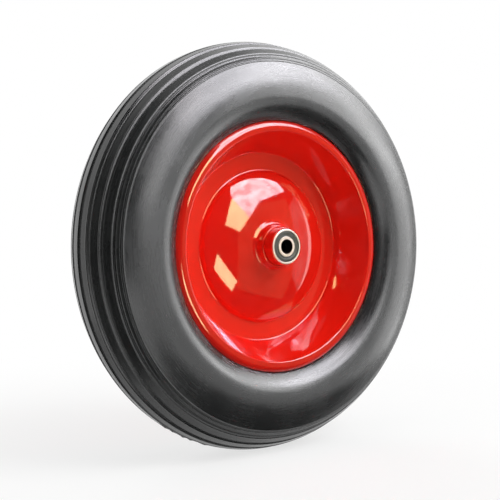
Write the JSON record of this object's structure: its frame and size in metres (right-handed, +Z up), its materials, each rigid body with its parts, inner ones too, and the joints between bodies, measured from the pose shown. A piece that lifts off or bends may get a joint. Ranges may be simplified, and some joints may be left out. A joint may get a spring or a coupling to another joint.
{
  "type": "puncture-proof wheel",
  "caption": "Puncture-proof foam wheel with a ribbed tread, smooth sidewalls and a dished red steel rim on sealed ball bearings in a hub tube.",
  "frame": {"origin": "centre of the wheel, on the axle's axis in the tyre's middle plane", "axes": "+Y along the axle away from the pictured face, which faces -Y; +Z up"},
  "size_m": [0.378, 0.089, 0.378],
  "materials": {
    "foam_tyre": "matt skin of solid polyurethane foam, slightly shiny on the sidewalls",
    "red_paint": "glossy red paint on pressed steel",
    "bearing_steel": "ground bright bearing steel",
    "seal_rubber": "satin moulded rubber",
    "cage_nylon": "natural moulded nylon"
  },
  "bodies": {
    "front_axle_side": {"front_inner_ring": "bearing_steel"},
    "wheel": {"tyre": "foam_tyre", "rim_half_front": "red_paint", "rim_half_rear": "red_paint", "hub_tube": "red_paint", "front_outer_ring": "bearing_steel", "rear_outer_ring": "bearing_steel", "front_outside_seal": "seal_rubber", "front_inside_seal": "seal_rubber", "rear_outside_seal": "seal_rubber", "rear_inside_seal": "seal_rubber"},
    "front_cage": {"front_cage": "cage_nylon"},
    "rear_axle_side": {"rear_inner_ring": "bearing_steel"},
    "rear_cage": {"rear_cage": "cage_nylon"},
    "front_ball_1": {"front_ball_1": "bearing_steel"},
    "front_ball_2": {"front_ball_2": "bearing_steel"},
    "front_ball_3": {"front_ball_3": "bearing_steel"},
    "front_ball_4": {"front_ball_4": "bearing_steel"},
    "front_ball_5": {"front_ball_5": "bearing_steel"},
    "front_ball_6": {"front_ball_6": "bearing_steel"},
    "front_ball_7": {"front_ball_7": "bearing_steel"},
    "rear_ball_1": {"rear_ball_1": "bearing_steel"},
    "rear_ball_2": {"rear_ball_2": "bearing_steel"},
    "rear_ball_3": {"rear_ball_3": "bearing_steel"},
    "rear_ball_4": {"rear_ball_4": "bearing_steel"},
    "rear_ball_5": {"rear_ball_5": "bearing_steel"},
    "rear_ball_6": {"rear_ball_6": "bearing_steel"},
    "rear_ball_7": {"rear_ball_7": "bearing_steel"}
  },
  "joints": [
    {"name": "wheel_spin", "type": "hinge", "parent": "front_axle_side", "child": "wheel", "pos_m": [0, 0, 0], "axis": [0, 1, 0], "continuous": true},
    {"name": "front_cage_spin", "type": "hinge", "parent": "front_axle_side", "child": "front_cage", "pos_m": [0, -0.0325, 0], "axis": [0, 1, 0], "continuous": true},
    {"name": "rear_axle_side_spin", "type": "hinge", "parent": "wheel", "child": "rear_axle_side", "pos_m": [0, 0.0325, 0], "axis": [0, 1, 0], "continuous": true},
    {"name": "rear_cage_spin", "type": "hinge", "parent": "wheel", "child": "rear_cage", "pos_m": [0, 0.0325, 0], "axis": [0, 1, 0], "continuous": true},
    {"name": "front_ball_1_spin", "type": "hinge", "parent": "front_cage", "child": "front_ball_1", "pos_m": [0.011, -0.0325, 0], "axis": [0, 1, 0], "continuous": true},
    {"name": "front_ball_2_spin", "type": "hinge", "parent": "front_cage", "child": "front_ball_2", "pos_m": [0.00686, -0.0325, 0.0086], "axis": [0, 1, 0], "continuous": true},
    {"name": "front_ball_3_spin", "type": "hinge", "parent": "front_cage", "child": "front_ball_3", "pos_m": [-0.00245, -0.0325, 0.01072], "axis": [0, 1, 0], "continuous": true},
    {"name": "front_ball_4_spin", "type": "hinge", "parent": "front_cage", "child": "front_ball_4", "pos_m": [-0.00991, -0.0325, 0.00477], "axis": [0, 1, 0], "continuous": true},
    {"name": "front_ball_5_spin", "type": "hinge", "parent": "front_cage", "child": "front_ball_5", "pos_m": [-0.00991, -0.0325, -0.00477], "axis": [0, 1, 0], "continuous": true},
    {"name": "front_ball_6_spin", "type": "hinge", "parent": "front_cage", "child": "front_ball_6", "pos_m": [-0.00245, -0.0325, -0.01072], "axis": [0, 1, 0], "continuous": true},
    {"name": "front_ball_7_spin", "type": "hinge", "parent": "front_cage", "child": "front_ball_7", "pos_m": [0.00686, -0.0325, -0.0086], "axis": [0, 1, 0], "continuous": true},
    {"name": "rear_ball_1_spin", "type": "hinge", "parent": "rear_cage", "child": "rear_ball_1", "pos_m": [0.011, 0.0325, 0], "axis": [0, 1, 0], "continuous": true},
    {"name": "rear_ball_2_spin", "type": "hinge", "parent": "rear_cage", "child": "rear_ball_2", "pos_m": [0.00686, 0.0325, -0.0086], "axis": [0, 1, 0], "continuous": true},
    {"name": "rear_ball_3_spin", "type": "hinge", "parent": "rear_cage", "child": "rear_ball_3", "pos_m": [-0.00245, 0.0325, -0.01072], "axis": [0, 1, 0], "continuous": true},
    {"name": "rear_ball_4_spin", "type": "hinge", "parent": "rear_cage", "child": "rear_ball_4", "pos_m": [-0.00991, 0.0325, -0.00477], "axis": [0, 1, 0], "continuous": true},
    {"name": "rear_ball_5_spin", "type": "hinge", "parent": "rear_cage", "child": "rear_ball_5", "pos_m": [-0.00991, 0.0325, 0.00477], "axis": [0, 1, 0], "continuous": true},
    {"name": "rear_ball_6_spin", "type": "hinge", "parent": "rear_cage", "child": "rear_ball_6", "pos_m": [-0.00245, 0.0325, 0.01072], "axis": [0, 1, 0], "continuous": true},
    {"name": "rear_ball_7_spin", "type": "hinge", "parent": "rear_cage", "child": "rear_ball_7", "pos_m": [0.00686, 0.0325, 0.0086], "axis": [0, 1, 0], "continuous": true}
  ],
  "couplings": [
    {"joint": "front_cage_spin", "follows": "wheel_spin", "ratio": 0.63523},
    {"joint": "rear_axle_side_spin", "follows": "wheel_spin", "ratio": -1},
    {"joint": "rear_cage_spin", "follows": "wheel_spin", "ratio": -0.36477},
    {"joint": "front_ball_1_spin", "follows": "wheel_spin", "ratio": 1.7135},
    {"joint": "front_ball_2_spin", "follows": "wheel_spin", "ratio": 1.7135},
    {"joint": "front_ball_3_spin", "follows": "wheel_spin", "ratio": 1.7135},
    {"joint": "front_ball_4_spin", "follows": "wheel_spin", "ratio": 1.7135},
    {"joint": "front_ball_5_spin", "follows": "wheel_spin", "ratio": 1.7135},
    {"joint": "front_ball_6_spin", "follows": "wheel_spin", "ratio": 1.7135},
    {"joint": "front_ball_7_spin", "follows": "wheel_spin", "ratio": 1.7135},
    {"joint": "rear_ball_1_spin", "follows": "wheel_spin", "ratio": 1.7135},
    {"joint": "rear_ball_2_spin", "follows": "wheel_spin", "ratio": 1.7135},
    {"joint": "rear_ball_3_spin", "follows": "wheel_spin", "ratio": 1.7135},
    {"joint": "rear_ball_4_spin", "follows": "wheel_spin", "ratio": 1.7135},
    {"joint": "rear_ball_5_spin", "follows": "wheel_spin", "ratio": 1.7135},
    {"joint": "rear_ball_6_spin", "follows": "wheel_spin", "ratio": 1.7135},
    {"joint": "rear_ball_7_spin", "follows": "wheel_spin", "ratio": 1.7135}
  ]
}
